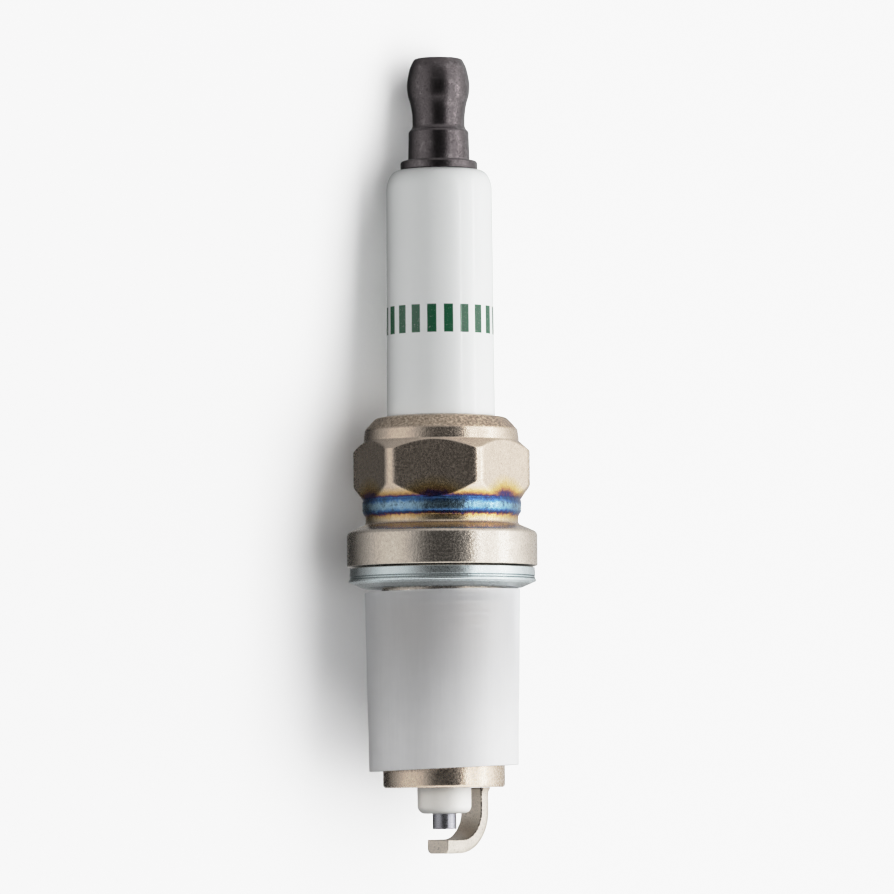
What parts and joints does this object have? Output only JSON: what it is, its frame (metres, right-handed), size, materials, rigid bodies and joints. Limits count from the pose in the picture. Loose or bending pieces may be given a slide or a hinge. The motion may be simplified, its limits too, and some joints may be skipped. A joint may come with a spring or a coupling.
{
  "type": "spark plug",
  "caption": "Screw-in spark plug with a hexagon shell, white glazed insulator, one-piece terminal, captive crush gasket and a slide-off thread protector.",
  "frame": {"origin": "on the plug's axis, level with the lowest point of the plug (the underside of the ground electrode's foot); the gasket's seating face is 26.5 mm above it", "axes": "+Z along the plug's axis from the seat towards the terminal; the ground electrode's leg stands at 50 degrees from +X towards +Y; -Y faces the viewer, with one hexagon flat turned 5.85 degrees from it"},
  "size_m": [0.019, 0.019, 0.0795],
  "materials": {
    "dark_steel": "dark oxidised steel, fine turned grain",
    "glazed_insulator": "clear glaze over white alumina",
    "seal_glass": "matte, fused copper-glass powder",
    "resistor_glass": "matte, fused carbon-glass powder",
    "centre_nickel": "ground nickel alloy",
    "copper": "drawn copper",
    "nickel_plate": "warm satin nickel plate, heat-tinted at the shrink ridge",
    "plain_steel": "plain steel wire and strip",
    "talc": "pressed powder",
    "nickel_alloy": "warm satin nickel alloy",
    "zinc_plate": "bright bluish zinc plate",
    "frosted_plastic": "frosted translucent polyethylene"
  },
  "bodies": {
    "plug": {"terminal_stud": "dark_steel", "insulator": "glazed_insulator", "upper_glass_seal": "seal_glass", "resistor": "resistor_glass", "lower_glass_seal": "seal_glass", "centre_electrode": "centre_nickel", "electrode_copper_core": "copper", "metal_shell": "nickel_plate", "upper_packing_ring": "plain_steel", "talc_ring": "talc", "lower_packing_ring": "plain_steel", "inner_seat_washer": "plain_steel", "ground_electrode": "nickel_alloy"},
    "gasket": {"gasket": "zinc_plate"},
    "protector": {"thread_protector": "frosted_plastic"}
  },
  "joints": [
    {"name": "protector_slide", "type": "slide", "parent": "plug", "child": "protector", "axis": [0, 0, -1], "range_m": [0, 0.03]},
    {"name": "gasket_spin", "type": "hinge", "parent": "plug", "child": "gasket", "pos_m": [0, 0, 0.0275], "axis": [0, 0, 1], "continuous": true}
  ]
}
